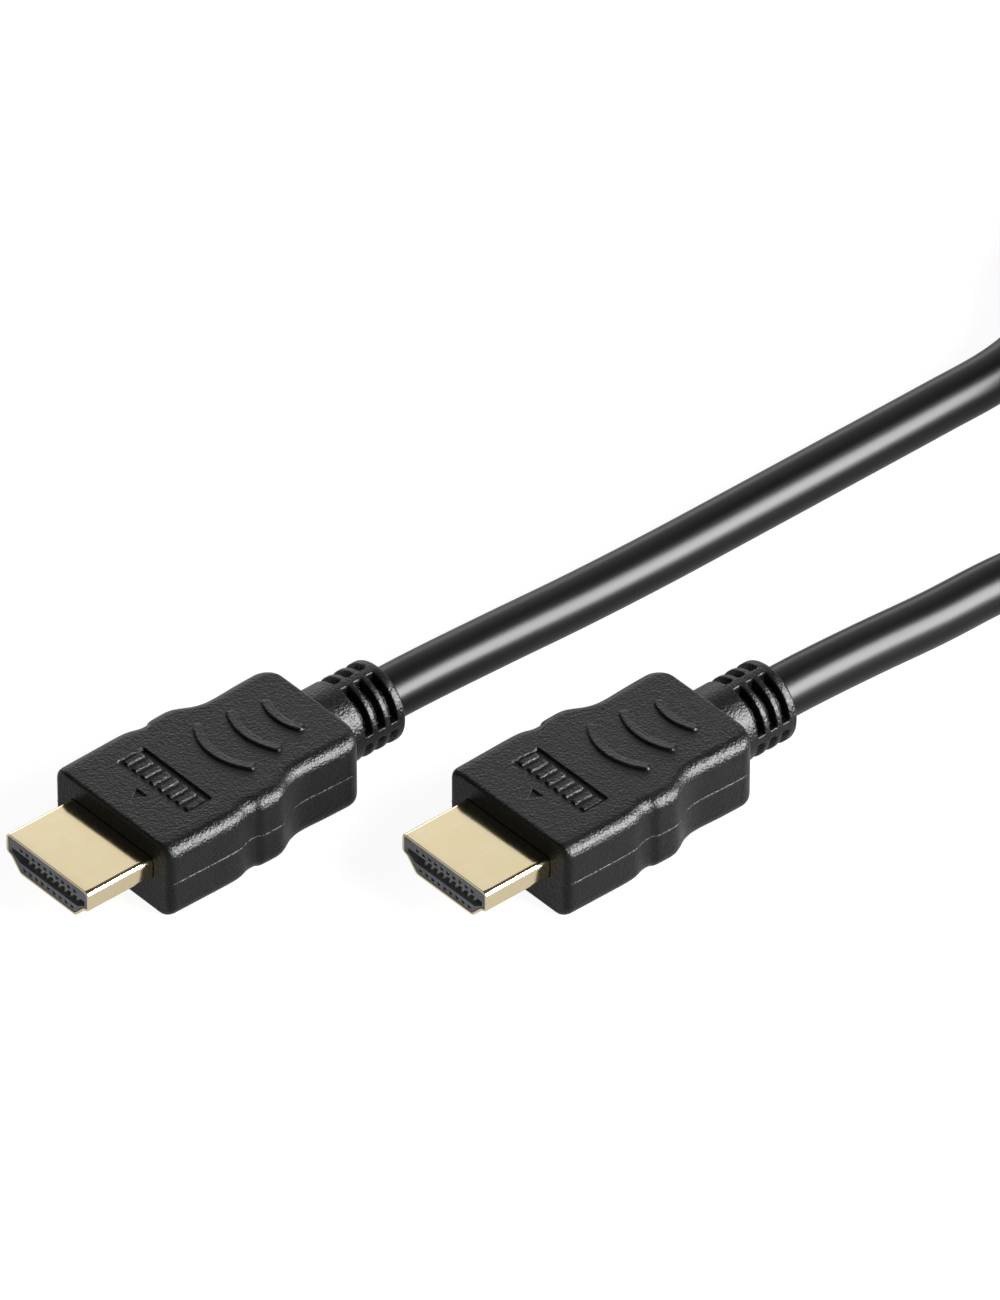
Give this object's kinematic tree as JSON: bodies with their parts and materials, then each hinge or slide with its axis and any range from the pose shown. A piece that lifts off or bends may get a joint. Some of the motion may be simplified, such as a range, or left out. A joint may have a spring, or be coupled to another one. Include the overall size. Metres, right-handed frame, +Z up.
{
  "type": "hdmi cable",
  "caption": "Audio and video cable: a moulded plug with a D-shaped gilt shell and slotted strain relief on each end, its spare length folded into a tied hank.",
  "frame": {"origin": "bottom centre of the box round the two plugs, on the surface that the cable lies on", "axes": "+Z up from that surface; the plugs point along -Y, side by side along X; the cords run back along +Y"},
  "size_m": [0.0628, 0.2363, 0.0144],
  "materials": {
    "shell": "pale champagne-gold plating, smooth, semi-gloss",
    "contact_block": "dark grey moulded plastic, fine matt",
    "contacts": "gold-plated spring strip, bright",
    "plug_mould": "black moulded PVC with a fine leather-like grain, satin",
    "cord_jacket": "black extruded PVC jacket, smooth and glossy, with faint lengthwise streaks",
    "ties": "black plastic-coated twist tie"
  },
  "bodies": {
    "root": {"plug_a_shell": "shell", "plug_a_contact_block": "contact_block", "plug_a_contact_01": "contacts", "plug_a_contact_02": "contacts", "plug_a_contact_03": "contacts", "plug_a_contact_04": "contacts", "plug_a_contact_05": "contacts", "plug_a_contact_06": "contacts", "plug_a_contact_07": "contacts", "plug_a_contact_08": "contacts", "plug_a_contact_09": "contacts", "plug_a_contact_10": "contacts", "plug_a_contact_11": "contacts", "plug_a_contact_12": "contacts", "plug_a_contact_13": "contacts", "plug_a_contact_14": "contacts", "plug_a_contact_15": "contacts", "plug_a_contact_16": "contacts", "plug_a_contact_17": "contacts", "plug_a_contact_18": "contacts", "plug_a_contact_19": "contacts", "plug_a_body": "plug_mould", "plug_b_shell": "shell", "plug_b_contact_block": "contact_block", "plug_b_contact_01": "contacts", "plug_b_contact_02": "contacts", "plug_b_contact_03": "contacts", "plug_b_contact_04": "contacts", "plug_b_contact_05": "contacts", "plug_b_contact_06": "contacts", "plug_b_contact_07": "contacts", "plug_b_contact_08": "contacts", "plug_b_contact_09": "contacts", "plug_b_contact_10": "contacts", "plug_b_contact_11": "contacts", "plug_b_contact_12": "contacts", "plug_b_contact_13": "contacts", "plug_b_contact_14": "contacts", "plug_b_contact_15": "contacts", "plug_b_contact_16": "contacts", "plug_b_contact_17": "contacts", "plug_b_contact_18": "contacts", "plug_b_contact_19": "contacts", "plug_b_body": "plug_mould", "cord_a": "cord_jacket", "cord_b": "cord_jacket", "cord_hank": "cord_jacket", "tie_left": "ties", "tie_right": "ties"}
  },
  "joints": []
}
